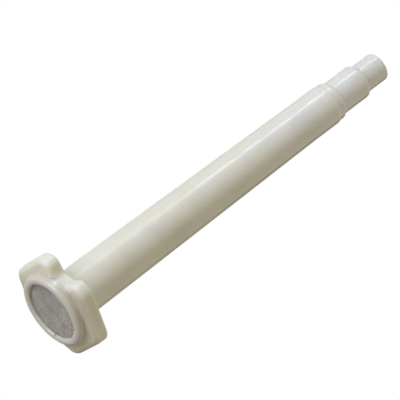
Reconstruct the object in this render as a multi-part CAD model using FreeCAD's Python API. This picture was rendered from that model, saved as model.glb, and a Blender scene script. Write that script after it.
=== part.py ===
import FreeCAD, Part
import math
import os

# Fuel pickup pipe for a small engine's carburettor: a moulded pipe with a hexagonal foot and a stepped
# spigot, a loose ball on a pressed-in seat that works as a foot valve, and a woven wire screen that is
# held in the mouth by a ring.
#
# Millimetres. The origin is the centre of the ring's lower face, and +Z runs up the pipe to the spigot,
# as the pipe hangs in a fuel tank. The flat with the scallop faces -Y.

# ---- driving dimensions -------------------------------------------------------------------------------
GAP = 0.01                     # left between pieces that touch, so that no two solids share volume
CUT_BEYOND = 1.00              # how far a cutting shape reaches past the face that it opens
SAME = 1e-6                    # lengths that differ by less than this are the same

# Outside of the pipe, from the foot up.
HEX_ACROSS_FLATS = 14.29       # takes a 9/16 inch socket
HEX_LOWER_Z = 1.14
HEX_UPPER_Z = 3.35
HEX_CORNER_ROUND = 2.05
HEX_LOWER_ROUND = 0.78
HEX_UPPER_ROUND = 0.35
SCALLOP_MOUTH = 4.60           # width of the scallop at the flat
SCALLOP_FLOOR = 1.90           # width at its floor
SCALLOP_ROUND = 1.20

TUBE_FOOT_R = 3.62
LAND_Z = 48.70                 # the taper ends in a plain land
LAND_R = 3.01
NECK_Z = 53.25
NECK_R = 2.87
SPIGOT_Z = 54.60               # end of the shoulder between the neck and the spigot
SPIGOT_R = 2.54
PILOT_Z = 59.68                # end of the shoulder between the spigot and the pilot
PILOT_R = 2.11
PIPE_TOP_Z = 63.38
SHOULDER_HEIGHT = 0.50
SHOULDER_ROUND = 0.70          # at the top of each shoulder's slope
SHOULDER_HOLLOW = 0.30         # and at its bottom
TIP_ROUND = 0.42

# Inside of the pipe, from the foot up.
INLET_R = 4.40                 # the open space behind the screen
SEAT_POCKET_R = 3.40
CHAMBER_R = 2.45               # the bore around the ball
BORE_TOP_R = 1.85
SPIGOT_BORE_R = 1.50
PILOT_BORE_R = 1.20
BORE_STEP = 0.60               # height of each cone between two bores
MOUTH_CHAMFER = 0.20

# Ribs on the bore's wall that stop the ball.
RIB_COUNT = 3
RIB_THICKNESS = 0.70
RIB_INNER_R = 0.90
RIB_LENGTH = 4.00
RIB_ROOT = 0.30                # how far a rib reaches into the wall

# Ball and seat.
BALL_R = 1.5875                # a 1/8 inch ball
BALL_LIFT = 1.50
SEAT_LOWER_Z = 1.55
SEAT_HEIGHT = 1.20
SEAT_CHAMFER = 0.20
ORIFICE_R = 1.00
CONE_DEPTH = 0.60
CONE_SLOPE = math.radians(45)

# Screen and its ring.
RING_OUTER_R = 5.60
RING_INNER_R = 4.40
RING_OUTER_ROUND = 0.58
RING_INNER_ROUND = 0.42
RING_LIP = 0.45                # thickness of the ring below the screen's edge
SKIRT_INNER_R = 4.95
SKIRT_OUTER_R = 5.28
SKIRT_TOP_Z = 2.10
SKIRT_CHAMFER = 0.10
GATE_MARK_R = 0.30             # the small nub that the moulding's gate leaves on the ring's inner edge
GATE_MARK_ANGLE = 79
WIRE_PITCH = 0.2117            # 120 wires to the inch
WIRE_R = 0.047
WEAVE_ANGLE = 21               # of the first layer's wires from +X, in degrees
LAYER_GAP = 0.004              # between the two layers of wires, and between the wires and the lip

# ---- dimensions that follow ---------------------------------------------------------------------------
HEX_MIDDLE_Z = (HEX_LOWER_Z + HEX_UPPER_Z) / 2
RING_BED_R = RING_OUTER_R - GAP
WARP_Z = RING_LIP + LAYER_GAP + WIRE_R
WEFT_Z = WARP_Z + 2 * WIRE_R + LAYER_GAP
BOSS_Z = WEFT_Z + WIRE_R + GAP
BOSS_R = SKIRT_INNER_R - GAP
SCREEN_R = BOSS_R - GAP
SEAT_UPPER_Z = SEAT_LOWER_Z + SEAT_HEIGHT
CONE_FOOT_Z = SEAT_UPPER_Z - CONE_DEPTH
CHAMBER_Z = SEAT_UPPER_Z + GAP

# The ball touches the cone on a circle, where its own surface has the cone's slope.
CONTACT_R = BALL_R * math.cos(CONE_SLOPE)
CONTACT_Z = CONE_FOOT_Z + (CONTACT_R - ORIFICE_R) * math.tan(CONE_SLOPE)
BALL_Z = CONTACT_Z + BALL_R * math.sin(CONE_SLOPE) + GAP
RIB_Z = BALL_Z + BALL_LIFT + math.sqrt(BALL_R**2 - RIB_INNER_R**2) + GAP


# ---- helpers ------------------------------------------------------------------------------------------
def rounded_outline(corners, place):
    """A closed wire through corners (u, v, radius), with a tangent arc where the radius isn't 0."""
    points = [FreeCAD.Vector(u, v, 0) for u, v, _ in corners]
    spans = []
    for i, here in enumerate(points):
        radius = corners[i][2]
        if radius == 0:
            spans.append((here, None, here))
            continue
        before = (points[i - 1] - here).normalize()
        after = (points[(i + 1) % len(points)] - here).normalize()
        half_angle = before.getAngle(after) / 2
        setback = radius / math.tan(half_angle)
        crown = radius / math.sin(half_angle) - radius
        inward = (before + after).normalize()
        spans.append((here + before * setback, here + inward * crown, here + after * setback))

    edges = []
    for i, (start, crown, end) in enumerate(spans):
        if crown is not None:
            edges.append(Part.Arc(place(start), place(crown), place(end)).toShape())
        following = spans[(i + 1) % len(spans)][0]
        if end.distanceToPoint(following) > SAME:
            edges.append(Part.makeLine(place(end), place(following)))
    return Part.Wire(edges)


def sharp(*points):
    return [(r, z, 0) for r, z in points]


def turned(corners):
    """A solid of revolution about Z from the corners (r, z, radius) of its half section."""
    wire = rounded_outline(corners, lambda p: FreeCAD.Vector(p.x, 0, p.y))
    return Part.Face(wire).revolve(FreeCAD.Vector(0, 0, 0), FreeCAD.Vector(0, 0, 1), 360)


def around_z(shape, angle):
    """The shape turned about Z by an angle in degrees."""
    shape.rotate(FreeCAD.Vector(0, 0, 0), FreeCAD.Vector(0, 0, 1), angle)
    return shape


# ---- pieces -------------------------------------------------------------------------------------------
def hexagon():
    """The foot's hexagon with rounded corners and rims, and the scallop in its -Y flat.

    A round bed for the ring fills out the lower rim at the scallop's floor, where the ring would overhang it.
    """
    flat = HEX_ACROSS_FLATS / 2
    corner_r = flat / math.cos(math.radians(30))
    scallop = [
        (-SCALLOP_MOUTH / 2, -flat, SCALLOP_ROUND),
        (-SCALLOP_FLOOR / 2, -RING_OUTER_R, SCALLOP_ROUND),
        (SCALLOP_FLOOR / 2, -RING_OUTER_R, SCALLOP_ROUND),
        (SCALLOP_MOUTH / 2, -flat, SCALLOP_ROUND),
    ]
    corners = []
    for i in range(6):
        angle = math.radians(60 * i - 60)
        corners.append((corner_r * math.cos(angle), corner_r * math.sin(angle), HEX_CORNER_ROUND))
    wire = rounded_outline(scallop + corners, lambda p: FreeCAD.Vector(p.x, p.y, HEX_LOWER_Z))
    block = Part.Face(wire).extrude(FreeCAD.Vector(0, 0, HEX_UPPER_Z - HEX_LOWER_Z))
    for z, radius in [(HEX_LOWER_Z, HEX_LOWER_ROUND), (HEX_UPPER_Z, HEX_UPPER_ROUND)]:
        rim = [e for e in block.Edges if e.BoundBox.ZLength < SAME and abs(e.BoundBox.ZMin - z) < SAME]
        block = block.makeFillet(radius, rim)
    bed = Part.makeCylinder(RING_BED_R, HEX_MIDDLE_Z - HEX_LOWER_Z, FreeCAD.Vector(0, 0, HEX_LOWER_Z))
    return block.fuse(bed)


def pipe_outside():
    """The pipe without its bore: the boss in the mouth, the tapered tube, and the stepped spigot."""
    return turned([
        (0, BOSS_Z, 0),
        (BOSS_R, BOSS_Z, 0),
        (BOSS_R, HEX_MIDDLE_Z, 0),
        (TUBE_FOOT_R, HEX_MIDDLE_Z, 0),
        (TUBE_FOOT_R, HEX_UPPER_Z, 0),
        (LAND_R, LAND_Z, 0),
        (LAND_R, NECK_Z - SHOULDER_HEIGHT / 2, SHOULDER_ROUND),
        (NECK_R, NECK_Z, SHOULDER_HOLLOW),
        (NECK_R, SPIGOT_Z - SHOULDER_HEIGHT, SHOULDER_ROUND),
        (SPIGOT_R, SPIGOT_Z, SHOULDER_HOLLOW),
        (SPIGOT_R, PILOT_Z - SHOULDER_HEIGHT, SHOULDER_ROUND),
        (PILOT_R, PILOT_Z, SHOULDER_HOLLOW),
        (PILOT_R, PIPE_TOP_Z, TIP_ROUND),
        (0, PIPE_TOP_Z, 0),
    ])


def pipe_inside():
    """The hollow through the pipe, from the open space behind the screen to the pilot's mouth."""
    return turned(sharp(
        (0, BOSS_Z - CUT_BEYOND),
        (INLET_R, BOSS_Z - CUT_BEYOND),
        (INLET_R, SEAT_LOWER_Z),
        (SEAT_POCKET_R, SEAT_LOWER_Z),
        (SEAT_POCKET_R, CHAMBER_Z),
        (CHAMBER_R, CHAMBER_Z),
        (BORE_TOP_R, SPIGOT_Z - 2 * BORE_STEP),
        (SPIGOT_BORE_R, SPIGOT_Z - BORE_STEP),
        (SPIGOT_BORE_R, PILOT_Z - 2 * BORE_STEP),
        (PILOT_BORE_R, PILOT_Z - BORE_STEP),
        (PILOT_BORE_R, PIPE_TOP_Z - MOUTH_CHAMFER),
        (PILOT_BORE_R + MOUTH_CHAMFER, PIPE_TOP_Z),
        (PILOT_BORE_R + MOUTH_CHAMFER, PIPE_TOP_Z + CUT_BEYOND),
        (0, PIPE_TOP_Z + CUT_BEYOND),
    ))


def skirt_groove():
    """The groove around the boss that takes the ring's skirt."""
    return turned(sharp(
        (BOSS_R, HEX_LOWER_Z - CUT_BEYOND),
        (SKIRT_OUTER_R + GAP, HEX_LOWER_Z - CUT_BEYOND),
        (SKIRT_OUTER_R + GAP, SKIRT_TOP_Z + GAP),
        (BOSS_R, SKIRT_TOP_Z + GAP),
    ))


def ball_stop_ribs():
    """Ribs whose lower ends stop the ball. The fuel passes between them."""
    reach = CHAMBER_R + RIB_ROOT - RIB_INNER_R
    ribs = []
    for i in range(RIB_COUNT):
        rib = Part.makeBox(
            reach, RIB_THICKNESS, RIB_LENGTH, FreeCAD.Vector(RIB_INNER_R, -RIB_THICKNESS / 2, RIB_Z)
        )
        ribs.append(around_z(rib, 360 * i / RIB_COUNT))
    return ribs


def pipe_body():
    solid = hexagon().fuse(pipe_outside())
    hollow = solid.cut([pipe_inside(), skirt_groove()])
    return hollow.fuse(ball_stop_ribs()).removeSplitter()


def valve_seat():
    """The pressed-in disc with the orifice, and the cone that the ball rests on."""
    outer_r = SEAT_POCKET_R - GAP
    return turned(sharp(
        (ORIFICE_R + SEAT_CHAMFER, SEAT_LOWER_Z),
        (outer_r, SEAT_LOWER_Z),
        (outer_r, SEAT_UPPER_Z - SEAT_CHAMFER),
        (outer_r - SEAT_CHAMFER, SEAT_UPPER_Z),
        (ORIFICE_R + CONE_DEPTH / math.tan(CONE_SLOPE), SEAT_UPPER_Z),
        (ORIFICE_R, CONE_FOOT_Z),
        (ORIFICE_R, SEAT_LOWER_Z + SEAT_CHAMFER),
    ))


def check_ball():
    return Part.makeSphere(BALL_R, FreeCAD.Vector(0, 0, BALL_Z))


def screen_ring():
    """The rounded ring that clamps the screen's edge against the boss, with a skirt for the groove."""
    ring = turned([
        (RING_INNER_R, 0, RING_INNER_ROUND),
        (RING_OUTER_R, 0, RING_OUTER_ROUND),
        (RING_OUTER_R, HEX_LOWER_Z - GAP, 0),
        (SKIRT_OUTER_R, HEX_LOWER_Z - GAP, 0),
        (SKIRT_OUTER_R, SKIRT_TOP_Z - SKIRT_CHAMFER, 0),
        (SKIRT_OUTER_R - SKIRT_CHAMFER, SKIRT_TOP_Z, 0),
        (SKIRT_INNER_R, SKIRT_TOP_Z, 0),
        (SKIRT_INNER_R, RING_LIP, 0),
        (RING_INNER_R, RING_LIP, 0),
    ])
    centre = FreeCAD.Vector(RING_INNER_R + GATE_MARK_R / 2, 0, GATE_MARK_R)
    mark = Part.makeSphere(GATE_MARK_R, centre, FreeCAD.Vector(0, 0, 1), -90, 0, 360)
    return ring.fuse(around_z(mark, GATE_MARK_ANGLE)).removeSplitter()


def screen_wires(z, angle):
    """One layer of the screen: straight parallel wires, cut off at the screen's round edge."""
    wires = []
    per_side = int((SCREEN_R - WIRE_R) / WIRE_PITCH)
    for i in range(-per_side, per_side + 1):
        offset = i * WIRE_PITCH
        half = math.sqrt(SCREEN_R**2 - (abs(offset) + WIRE_R) ** 2)
        start = FreeCAD.Vector(-half, offset, z)
        wire = Part.makeCylinder(WIRE_R, 2 * half, start, FreeCAD.Vector(1, 0, 0))
        wires.append(around_z(wire, angle))
    return Part.makeCompound(wires)


pieces = {
    "pipe_body": pipe_body(),
    "valve_seat": valve_seat(),
    "check_ball": check_ball(),
    "screen_ring": screen_ring(),
    "screen_warp_wires": screen_wires(WARP_Z, WEAVE_ANGLE),
    "screen_weft_wires": screen_wires(WEFT_Z, WEAVE_ANGLE + 90),
}
os.makedirs("parts", exist_ok=True)
for name, shape in pieces.items():
    shape.exportStep(f"parts/{name}.step")
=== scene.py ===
import math

import bmesh
import bpy
from mathutils import Matrix, Vector


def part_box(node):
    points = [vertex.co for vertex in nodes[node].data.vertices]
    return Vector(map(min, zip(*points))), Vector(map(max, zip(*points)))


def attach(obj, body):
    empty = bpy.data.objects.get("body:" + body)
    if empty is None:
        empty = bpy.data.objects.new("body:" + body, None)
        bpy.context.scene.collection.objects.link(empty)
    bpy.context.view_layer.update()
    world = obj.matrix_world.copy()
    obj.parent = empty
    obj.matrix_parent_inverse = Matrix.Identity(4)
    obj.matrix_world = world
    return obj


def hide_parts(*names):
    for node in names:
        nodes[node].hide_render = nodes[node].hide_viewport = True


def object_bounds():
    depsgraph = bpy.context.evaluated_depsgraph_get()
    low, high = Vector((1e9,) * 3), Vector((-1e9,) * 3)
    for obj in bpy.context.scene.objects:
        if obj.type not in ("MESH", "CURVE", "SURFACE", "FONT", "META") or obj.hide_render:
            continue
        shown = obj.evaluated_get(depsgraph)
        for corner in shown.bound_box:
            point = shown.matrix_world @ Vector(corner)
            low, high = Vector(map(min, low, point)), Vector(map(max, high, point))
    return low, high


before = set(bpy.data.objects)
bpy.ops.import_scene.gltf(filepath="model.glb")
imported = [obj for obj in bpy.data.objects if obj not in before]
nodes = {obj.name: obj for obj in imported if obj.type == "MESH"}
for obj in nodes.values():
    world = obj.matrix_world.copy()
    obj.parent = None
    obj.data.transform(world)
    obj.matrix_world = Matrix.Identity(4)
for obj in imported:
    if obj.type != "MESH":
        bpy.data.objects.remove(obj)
cad_low, cad_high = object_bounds()

MM = 0.001
WHITE = (1, 1, 1, 1)
BLACK = (0, 0, 0, 1)

pipe_axis = Vector((0, 0, 1))
pipe_top = cad_high.z
pipe_middle = Vector((0, 0, pipe_top / 2))
ring_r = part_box("screen_ring")[1].x
hexagon_bottom = 1.14 * MM      # heights of the hexagon's two ends, as in the CAD
hexagon_top = 3.35 * MM


# ---- camera -------------------------------------------------------------------------------------------
# The camera is in front of the pipe and below its foot, and is rolled so that the pipe leans to the right.
CAMERA_AZIMUTH = -63.95         # degrees from +X, of the side of the pipe that faces the camera
CAMERA_OUT = 985.2 * MM         # distance from the pipe's axis
CAMERA_ASIDE = -0.05 * MM       # a little right of the axis
CAMERA_HEIGHT = -465.1 * MM
LENS = 720.0
SENSOR = 36.0
NEAREST_SEEN = 10 * MM


def from_side(out, across, up):
    """A place or direction given as out to the camera's side, across to its left, and up the pipe's axis."""
    turn = math.radians(CAMERA_AZIMUTH)
    return Vector((
        out * math.cos(turn) - across * math.sin(turn),
        out * math.sin(turn) + across * math.cos(turn),
        up,
    ))


# Directions of the picture's right and top, and from the pipe back to the camera.
CAMERA_RIGHT = from_side(0.3578, 0.6018, 0.7140)
CAMERA_UP = from_side(0.2696, -0.7986, 0.5381)
CAMERA_BACK = CAMERA_RIGHT.cross(CAMERA_UP)


def from_pipe(up_angle, side_angle):
    """A direction at an angle above square to the pipe, and turned round it from the camera's side."""
    up = pipe_axis
    out = (CAMERA_BACK - up * CAMERA_BACK.dot(up)).normalized()
    left = out.cross(up)
    rise = math.radians(up_angle)
    turn = math.radians(side_angle)
    return up * math.sin(rise) + (out * math.cos(turn) + left * math.sin(turn)) * math.cos(rise)


def make_camera():
    data = bpy.data.cameras.new("camera")
    data.lens = LENS
    data.sensor_width = SENSOR
    data.clip_start = NEAREST_SEEN
    camera = bpy.data.objects.new("camera", data)
    bpy.context.scene.collection.objects.link(camera)
    turn = Matrix((CAMERA_RIGHT, CAMERA_UP, CAMERA_BACK)).transposed()
    place = from_side(CAMERA_OUT, CAMERA_ASIDE, CAMERA_HEIGHT)
    camera.matrix_world = Matrix.Translation(place) @ turn.to_4x4()
    bpy.context.scene.camera = camera


# ---- node helpers -------------------------------------------------------------------------------------
class Nodes:
    """Short calls for building a node tree."""

    def __init__(self, tree):
        self.tree = tree
        tree.nodes.clear()

    def add(self, kind, inputs=None, **settings):
        """A node of a kind, with its settings, and its inputs given as values or as other sockets."""
        node = self.tree.nodes.new(kind)
        for name, value in settings.items():
            setattr(node, name, value)
        for name, value in (inputs or {}).items():
            if isinstance(value, bpy.types.NodeSocket):
                self.tree.links.new(value, node.inputs[name])
            else:
                node.inputs[name].default_value = value
        return node

    def math(self, operation, a, b=0.0):
        return self.add("ShaderNodeMath", {0: a, 1: b}, operation=operation).outputs[0]

    def ramp(self, value, low, high, to_low=0.0, to_high=1.0):
        """The value moved smoothly from one range to another, and kept inside it."""
        inputs = {"Value": value, "From Min": low, "From Max": high, "To Min": to_low, "To Max": to_high}
        return self.add("ShaderNodeMapRange", inputs, interpolation_type="SMOOTHSTEP").outputs["Result"]

    def near(self, value, middle, reach):
        """1 where the value is at the middle, fading to 0 at the reach to either side."""
        off = self.math("ABSOLUTE", self.math("SUBTRACT", value, middle))
        return self.ramp(off, 0.0, reach, 1.0, 0.0)

    def noise(self, place, scale, detail=2.0, roughness=0.5):
        """Soft blotches, about as many to the metre as the scale says, with values mostly near 0.5."""
        inputs = {"Vector": place, "Scale": scale, "Detail": detail, "Roughness": roughness}
        return self.add("ShaderNodeTexNoise", inputs).outputs["Fac"]

    def stretched(self, place, scale):
        """A place with each axis scaled, so that a texture on it comes out stretched."""
        return self.add("ShaderNodeMapping", {"Vector": place, "Scale": scale}).outputs["Vector"]

    def length(self, place):
        return self.add("ShaderNodeVectorMath", {0: place}, operation="LENGTH").outputs["Value"]

    def along(self, place, direction):
        """How far a place is in a direction."""
        inputs = {0: place, 1: direction}
        return self.add("ShaderNodeVectorMath", inputs, operation="DOT_PRODUCT").outputs["Value"]

    def upward(self, place):
        return self.add("ShaderNodeSeparateXYZ", {0: place}).outputs["Z"]

    def blend(self, share, a, b):
        """A mix of two colours."""
        node = self.add("ShaderNodeMix", data_type="RGBA")
        for socket, value in ((0, share), (6, a), (7, b)):
            if isinstance(value, bpy.types.NodeSocket):
                self.tree.links.new(value, node.inputs[socket])
            else:
                node.inputs[socket].default_value = value
        return node.outputs[2]

    def mix_shader(self, share, a, b):
        return self.add("ShaderNodeMixShader", {0: share, 1: a, 2: b}).outputs[0]


def new_material(name):
    material = bpy.data.materials.new(name)
    material.use_nodes = True
    return material, Nodes(material.node_tree)


# ---- plastic ------------------------------------------------------------------------------------------
SPIGOT_WHITE = (0.775, 0.785, 0.775, 1)
IVORY = (0.765, 0.765, 0.685, 1)
# painted shade: the foot's lower end on the side that the key light doesn't reach
PAINTED_SHADE_IVORY = (0.60, 0.585, 0.485, 1)
GREY = (0.63, 0.635, 0.63, 1)
# painted shade: the ring's walls, darker and yellower, as light coming through the plastic would warm their
# shade
PAINTED_SHADE_STRAW = (0.65, 0.625, 0.53, 1)
AMBER = (1.0, 0.80, 0.50, 1)     # light that has passed through the plastic
PAINTED_SHOULDER_LIGHT = (0.93, 0.92, 0.88, 1)    # painted light on the shoulders, where light comes through the thin plastic
PAINTED_CORNER_LIGHT = (0.96, 0.92, 0.80, 1)     # painted light in the corner where the ring meets the hexagon

PLASTIC_IOR = 1.5
COAT_ROUGHNESS = 0.16
DEEP_SCATTER = (1.0 * MM, 0.9 * MM, 0.7 * MM)      # how far red, green and blue light go into the pipe
THIN_SCATTER = (0.6 * MM, 0.55 * MM, 0.45 * MM)    # and into the ring and the seat
SPIGOT_SCATTER = 0.7             # share of the pipe's scatter that is left at the top of the spigot

# Heights as shares of the pipe's own.
WHITENS_FROM = 0.4
SCATTER_SHRINKS_FROM = 0.8
SHINE_GROWS_FROM = 0.1
SHINE_GROWS_TO = 0.7

SHOULDER_BANDS = (53.05 * MM, 54.35 * MM, 59.40 * MM)    # heights of the bands of painted light at the shoulders
SHOULDER_GLOW = 0.35 * MM        # how far from its middle a band fades out
SHOULDER_STRENGTH = 0.6

FOOT_FADE = 1 * MM               # height above the hexagon over which the foot's tones and painted shade fade out
END_FACING = -0.9                # upward part of the normal on the foot's lower end
WALL_FACING = -0.2               # and on its walls
KEY_SIDE = 62                    # how far the key light is turned round the pipe from the camera, in degrees
SHADE_EDGE = 1.5 * MM            # painted shade covers the foot's end up to this far from the axis towards the key light
LIT_EDGE = 5.5 * MM              # and the end is painted fully lit from here on
CORNER_GLOW = 0.30 * MM          # how far from the corner around the ring its band of painted light fades out
SHADED_GLOW = 0.6                # the painted light's strength on the shaded side

CLOUDS = 260                     # to the metre, like the other textures' scales
CLOUD_EDGES = (0.35, 0.75)       # noise values between which a cloud darkens the colour
CLOUD_DARKNESS = 0.06
DULLING_EDGES = (0.3, 0.7)       # and between which it changes the roughness
DULLING = (-0.04, 0.05)
STREAKS = (9000, 9000, 220)      # long ones up the pipe
GRAIN = 9000
STREAK_SHARE = 0.6               # of the relief, and the rest is grain
RELIEF_STRENGTH = 0.05
RELIEF_HEIGHT = 0.02 * MM


def foot_color(n, wall, end, shaded_end, normal, lit):
    """The foot's walls, and its lower end, with painted shade on the side that the key light doesn't reach.
    On the ring the walls' colour is painted shade too.
    """
    looks_down = n.ramp(n.upward(normal), END_FACING, WALL_FACING, 1.0, 0.0)
    return n.blend(looks_down, wall, n.blend(lit, shaded_end, end))


def corner_glow(n, place, height, lit):
    """How much painted light pales the corner around the ring, standing in for light inside the plastic. It
    is palest on the lit side.
    """
    from_axis = n.length(n.stretched(place, (1, 1, 0)))
    at_ring = n.near(from_axis, ring_r, CORNER_GLOW)
    corner = n.math("MULTIPLY", at_ring, n.near(height, hexagon_bottom, CORNER_GLOW))
    return n.math("MULTIPLY", corner, n.ramp(lit, 0.0, 1.0, SHADED_GLOW, 1.0))


def plastic_color(n, colors, place, height, normal):
    """Whiter up the pipe, with painted light at its shoulders and round the ring's corner, and at the foot
    with tones of its own and painted shade.
    """
    spigot, wall, end, shaded_end = colors
    color = n.blend(n.ramp(height, WHITENS_FROM * pipe_top, pipe_top), wall, spigot)
    in_foot = n.ramp(height, hexagon_top, hexagon_top + FOOT_FADE, 1.0, 0.0)
    # painted light and shade: how far a place lies towards the key light sets how lit the foot's end and the
    # ring's corner are painted
    lit = n.ramp(n.along(place, from_pipe(0, KEY_SIDE)), SHADE_EDGE, LIT_EDGE)
    color = n.blend(in_foot, color, foot_color(n, wall, end, shaded_end, normal, lit))
    # painted light in the corner around the ring
    color = n.blend(corner_glow(n, place, height, lit), color, PAINTED_CORNER_LIGHT)
    # painted light: a pale band at each shoulder
    for band in SHOULDER_BANDS:
        glow = n.math("MULTIPLY", n.near(height, band, SHOULDER_GLOW), SHOULDER_STRENGTH)
        color = n.blend(glow, color, PAINTED_SHOULDER_LIGHT)
    return color


def moulded_relief(n, place):
    """The faint relief of streaks and grain that the mould leaves."""
    streaks = n.math("MULTIPLY", n.noise(n.stretched(place, STREAKS), 1.0), STREAK_SHARE)
    grain = n.math("MULTIPLY", n.noise(place, GRAIN, detail=3, roughness=0.6), 1 - STREAK_SHARE)
    relief = n.math("ADD", streaks, grain)
    inputs = {"Height": relief, "Strength": RELIEF_STRENGTH, "Distance": RELIEF_HEIGHT}
    return n.add("ShaderNodeBump", inputs).outputs[0]


def moulded_plastic(name, colors, roughness, foot_coat, spigot_coat, scatter, leak):
    """Off-white moulded plastic that lets light in.

    colors are the spigot's, the foot's walls', its lower end's, and the end's painted shade on the side away
    from the key light; on the ring the walls' colour is painted shade too.
    scatter is how far red, green and blue light go in, and leak is the share of light that shines through.
    """
    material, n = new_material(name)
    geometry = n.add("ShaderNodeNewGeometry")
    place = geometry.outputs["Position"]
    height = n.upward(place)
    color = plastic_color(n, colors, place, height, geometry.outputs["Normal"])
    cloud = n.noise(place, CLOUDS, detail=3)
    surface = n.add("ShaderNodeBsdfPrincipled", {
        "Base Color": n.blend(n.ramp(cloud, *CLOUD_EDGES, 0.0, CLOUD_DARKNESS), color, BLACK),
        "Roughness": n.math("ADD", n.ramp(cloud, *DULLING_EDGES, *DULLING), roughness),
        "IOR": PLASTIC_IOR,
        "Subsurface Weight": 1.0,
        "Subsurface Radius": scatter,
        "Subsurface Scale": n.ramp(height, SCATTER_SHRINKS_FROM * pipe_top, pipe_top, 1.0, SPIGOT_SCATTER),
        "Coat Weight": n.ramp(
            height, SHINE_GROWS_FROM * pipe_top, SHINE_GROWS_TO * pipe_top, foot_coat, spigot_coat
        ),
        "Coat Roughness": COAT_ROUGHNESS,
        "Normal": moulded_relief(n, place),
    })
    shining = n.add("ShaderNodeBsdfTransparent", {"Color": AMBER}).outputs[0]
    shadow_ray = n.add("ShaderNodeLightPath").outputs["Is Shadow Ray"]
    shader = n.mix_shader(n.math("MULTIPLY", shadow_ray, leak), surface.outputs[0], shining)
    n.add("ShaderNodeOutputMaterial", {"Surface": shader})
    return material


def pipe_plastic():
    """Whiter and shinier up the pipe. Its thick foot lets light far in, but none through."""
    return moulded_plastic(
        "natural_plastic",
        colors=(SPIGOT_WHITE, IVORY, IVORY, PAINTED_SHADE_IVORY),
        roughness=0.4,
        foot_coat=0.1,
        spigot_coat=0.6,
        scatter=DEEP_SCATTER,
        leak=0.0,
    )


def ring_plastic():
    """Greyer and shiny all over. Some light shines through it."""
    return moulded_plastic(
        "ring_plastic",
        # the walls' straw colour is painted shade
        colors=(GREY, PAINTED_SHADE_STRAW, GREY, GREY),
        roughness=0.34,
        foot_coat=0.6,
        spigot_coat=0.6,
        scatter=THIN_SCATTER,
        leak=0.35,
    )


def seat_plastic():
    """Plain, as the seat is hidden."""
    return moulded_plastic(
        "seat_plastic",
        colors=(IVORY, IVORY, IVORY, IVORY),
        roughness=0.45,
        foot_coat=0.1,
        spigot_coat=0.1,
        scatter=THIN_SCATTER,
        leak=0.0,
    )


# ---- metals -------------------------------------------------------------------------------------------
STAINED_WIRE = (0.55, 0.54, 0.525, 1)
CLEAN_WIRE = (0.70, 0.685, 0.665, 1)
WIRE_STAINS = 700
STAIN_EDGES = (0.35, 0.7)        # noise values between which the wire's colour goes from stained to clean
WIRE_DULLING_EDGES = (0.3, 0.8)  # and between which its roughness does
WIRE_ROUGHNESS = (0.38, 0.28)    # stained and clean
WIRE_METALLIC = 0.75
SCRATCHES = 14000
SCRATCH_STRENGTH = 0.2
SCRATCH_DEPTH = 0.005 * MM

BRIGHT_STEEL = (0.62, 0.62, 0.63, 1)
WORN_STEEL = (0.45, 0.44, 0.43, 1)
BALL_WEAR = 2500
WEAR_EDGES = (0.4, 0.8)          # noise values between which the steel goes from bright to worn
BALL_ROUGHNESS = (0.12, 0.3)     # bright and worn


def wire_metal():
    """Drawn stainless wire, dulled by fuel."""
    material, n = new_material("screen_wire")
    place = n.add("ShaderNodeNewGeometry").outputs["Position"]
    cleanness = n.noise(place, WIRE_STAINS, detail=4, roughness=0.6)
    scratches = {
        "Height": n.noise(place, SCRATCHES),
        "Strength": SCRATCH_STRENGTH,
        "Distance": SCRATCH_DEPTH,
    }
    surface = n.add("ShaderNodeBsdfPrincipled", {
        "Base Color": n.blend(n.ramp(cleanness, *STAIN_EDGES), STAINED_WIRE, CLEAN_WIRE),
        "Metallic": WIRE_METALLIC,
        "Roughness": n.ramp(cleanness, *WIRE_DULLING_EDGES, *WIRE_ROUGHNESS),
        "Normal": n.add("ShaderNodeBump", scratches).outputs[0],
    })
    n.add("ShaderNodeOutputMaterial", {"Surface": surface.outputs[0]})
    return material


def ball_metal():
    """Polished steel with faint wear."""
    material, n = new_material("ball_steel")
    place = n.add("ShaderNodeNewGeometry").outputs["Position"]
    wear = n.noise(place, BALL_WEAR, detail=4, roughness=0.6)
    surface = n.add("ShaderNodeBsdfPrincipled", {
        "Base Color": n.blend(n.ramp(wear, *WEAR_EDGES), BRIGHT_STEEL, WORN_STEEL),
        "Metallic": 1.0,
        "Roughness": n.ramp(wear, *WEAR_EDGES, *BALL_ROUGHNESS),
    })
    n.add("ShaderNodeOutputMaterial", {"Surface": surface.outputs[0]})
    return material


def paint(piece, material):
    piece.data.materials.clear()
    piece.data.materials.append(material)


def paint_pieces():
    paint(nodes["pipe_body"], pipe_plastic())
    paint(nodes["screen_ring"], ring_plastic())
    paint(nodes["valve_seat"], seat_plastic())
    paint(nodes["check_ball"], ball_metal())


# ---- woven screen -------------------------------------------------------------------------------------
WIRES_PER_INCH = 120
WIRE_PITCH = 25.4 * MM / WIRES_PER_INCH
WARP_ANGLE = 21                 # of the warp wires from +X, as the flat layer's wires lie
WEFT_ANGLE = WARP_ANGLE + 90
STEPS_PER_PITCH = 4
FREE_SHARE = 0.86               # of the cloth's radius, inside which it is free to wrinkle
WRINKLE = 0.05 * MM
# Each fold's height as a share of WRINKLE, its radians to the metre along x and y, and its phase.
FOLDS = ((1.0, 1900, 700, 0.0), (0.7, -2300, 1200, 1.0))


def wrinkle(x, y, edge):
    """How far the cloth stands out of flat at a place, fading to nothing at the edge of its free part."""
    flatness = max(0.0, 1.0 - (x * x + y * y) / edge**2)
    folds = sum(share * math.sin(x_rate * x + y_rate * y + phase) for share, x_rate, y_rate, phase in FOLDS)
    return WRINKLE * folds * flatness


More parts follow.
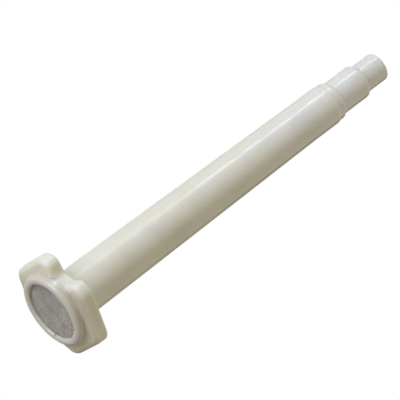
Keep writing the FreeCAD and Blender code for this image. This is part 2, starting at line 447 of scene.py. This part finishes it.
def woven_wires(name, node, angle, first_side, middle_z, material):
    """One set of the cloth's wires, going over and under the other set, in place of a flat layer of wires."""
    low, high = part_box(node)
    wire_r = (high.z - low.z) / 2
    edge = max(high.x, high.y)
    along = Vector((math.cos(math.radians(angle)), math.sin(math.radians(angle)), 0))
    across = pipe_axis.cross(along)
    curve = bpy.data.curves.new(name, "CURVE")
    curve.dimensions = "3D"
    curve.bevel_depth = wire_r
    curve.bevel_resolution = 1
    per_side = int((edge - wire_r) / WIRE_PITCH)
    for i in range(-per_side, per_side + 1):
        offset = i * WIRE_PITCH
        half = math.sqrt(edge**2 - offset**2) - 2 * wire_r
        steps = 2 * max(2, round(half / WIRE_PITCH * STEPS_PER_PITCH))
        spline = curve.splines.new("POLY")
        spline.points.add(steps)
        for k in range(steps + 1):
            run = half * (2 * k / steps - 1)
            place = along * run + across * offset
            lift = first_side * (-1) ** i * wire_r * math.cos(math.pi * run / WIRE_PITCH)
            z = middle_z + lift + wrinkle(place.x, place.y, FREE_SHARE * edge)
            spline.points[k].co = (place.x, place.y, z, 1)
    piece = bpy.data.objects.new(name, curve)
    bpy.context.scene.collection.objects.link(piece)
    paint(piece, material)
    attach(piece, "pipe")
    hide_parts(node)


def make_screen():
    middle_z = (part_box("screen_warp_wires")[0].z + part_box("screen_weft_wires")[1].z) / 2
    metal = wire_metal()
    woven_wires("woven_warp", "screen_warp_wires", WARP_ANGLE, 1, middle_z, metal)
    woven_wires("woven_weft", "screen_weft_wires", WEFT_ANGLE, -1, middle_z, metal)


# ---- light --------------------------------------------------------------------------------------------
LIGHT_DISTANCE = 500 * MM        # from the pipe's middle

CARD_SIDE = -150                 # how far the dark card is turned round the pipe from the camera, in degrees
CARD_EDGES = (0.75, 0.90)        # cosines of the angles from its middle between which the card fades in
FILL_COLOR = (1.0, 0.914, 0.725, 1)
FILL_STRENGTH = 0.45


def area_light(name, toward, width, length, power, color):
    """A softbox in the direction toward, facing the pipe's middle, with its length lying along the pipe."""
    data = bpy.data.lights.new(name, "AREA")
    data.shape = "RECTANGLE"
    data.size = width
    data.size_y = length
    data.energy = power
    data.color = color
    light = bpy.data.objects.new(name, data)
    bpy.context.scene.collection.objects.link(light)
    back = toward.normalized()
    side = pipe_axis.cross(back).normalized()
    turn = Matrix((side, back.cross(side), back)).transposed()
    light.matrix_world = Matrix.Translation(pipe_middle + back * LIGHT_DISTANCE) @ turn.to_4x4()
    return light


def make_lights():
    """A key light and a strip on one side, and a light behind that is never seen as a reflection."""
    area_light(
        "key_light",
        from_pipe(up_angle=-32, side_angle=KEY_SIDE),
        width=200 * MM,
        length=350 * MM,
        power=1.53,
        color=(0.83, 0.84, 1.0),
    )
    area_light(
        "strip_light",
        from_pipe(up_angle=25, side_angle=KEY_SIDE),
        width=70 * MM,
        length=450 * MM,
        power=0.81,
        color=(0.71, 0.84, 1.0),
    )
    back = area_light(
        "back_light",
        from_pipe(up_angle=15, side_angle=-165),
        width=150 * MM,
        length=400 * MM,
        power=0.9,
        color=(1.0, 0.97, 0.92),
    )
    back.visible_glossy = False


def make_world():
    """White behind the object as the camera sees it, and a dimmer warm light from all round.

    Reflections also show a dark card, behind the pipe and to its lower right, that sharpens that edge.
    """
    world = bpy.data.worlds.new("world")
    bpy.context.scene.world = world
    world.use_nodes = True
    n = Nodes(world.node_tree)
    toward = n.add("ShaderNodeTexCoord").outputs["Generated"]
    in_card = n.ramp(n.along(toward, from_pipe(0, CARD_SIDE)), *CARD_EDGES)
    rays = n.add("ShaderNodeLightPath")
    dark = n.math("MULTIPLY", rays.outputs["Is Glossy Ray"], in_card)
    strength = n.ramp(dark, 0.0, 1.0, FILL_STRENGTH, 0.0)
    seen = n.add("ShaderNodeBackground", {"Color": WHITE}).outputs[0]
    fill = n.add("ShaderNodeBackground", {"Color": FILL_COLOR, "Strength": strength}).outputs[0]
    n.add("ShaderNodeOutputWorld", {"Surface": n.mix_shader(rays.outputs["Is Camera Ray"], fill, seen)})


# ---- floor --------------------------------------------------------------------------------------------
FLOOR_R = 2.0
FLOOR_CORNERS = 64
FLOOR_DROP = 0.02 * MM           # below the foot, so that the two don't share a plane
FADE_FROM = 0.10                 # distance from the pipe where the floor starts to fade to white
FADE_TO = 0.45                   # and where it is all white
FLOOR_DARKER = (0.80, 0.80, 0.79, 1)
FLOOR_PALER = (0.83, 0.83, 0.82, 1)
FLOOR_CLOUDS = 40
FLOOR_CLOUD_EDGES = (0.3, 0.7)
FLOOR_WHITENESS = 0.6            # share of plain white in it, which weakens the shadow


def floor_material():
    """Pale and plain. It is seen only from above and hides nothing from below. It fades to white far away."""
    material, n = new_material("floor")
    geometry = n.add("ShaderNodeNewGeometry")
    place = geometry.outputs["Position"]
    cloud = n.noise(place, FLOOR_CLOUDS, detail=3)
    color = n.blend(n.ramp(cloud, *FLOOR_CLOUD_EDGES), FLOOR_DARKER, FLOOR_PALER)
    matte = n.add("ShaderNodeBsdfDiffuse", {"Color": color}).outputs[0]
    white = n.add("ShaderNodeEmission", {"Color": WHITE}).outputs[0]
    pale = n.mix_shader(FLOOR_WHITENESS, matte, white)
    top = n.mix_shader(n.ramp(n.length(place), FADE_FROM, FADE_TO), pale, white)
    clear = n.add("ShaderNodeBsdfTransparent").outputs[0]
    camera_ray = n.add("ShaderNodeLightPath").outputs["Is Camera Ray"]
    from_above = n.math("SUBTRACT", 1.0, geometry.outputs["Backfacing"])
    shown = n.math("MULTIPLY", camera_ray, from_above)
    n.add("ShaderNodeOutputMaterial", {"Surface": n.mix_shader(shown, clear, top)})
    return material


def make_floor():
    mesh = bpy.data.meshes.new("floor")
    shape = bmesh.new()
    bmesh.ops.create_circle(shape, cap_ends=True, radius=FLOOR_R, segments=FLOOR_CORNERS)
    shape.to_mesh(mesh)
    shape.free()
    floor = bpy.data.objects.new("floor", mesh)
    bpy.context.scene.collection.objects.link(floor)
    floor.location.z = -FLOOR_DROP
    paint(floor, floor_material())


make_camera()
make_world()
make_lights()
make_floor()
paint_pieces()
make_screen()
bpy.context.scene.view_settings.view_transform = "Standard"
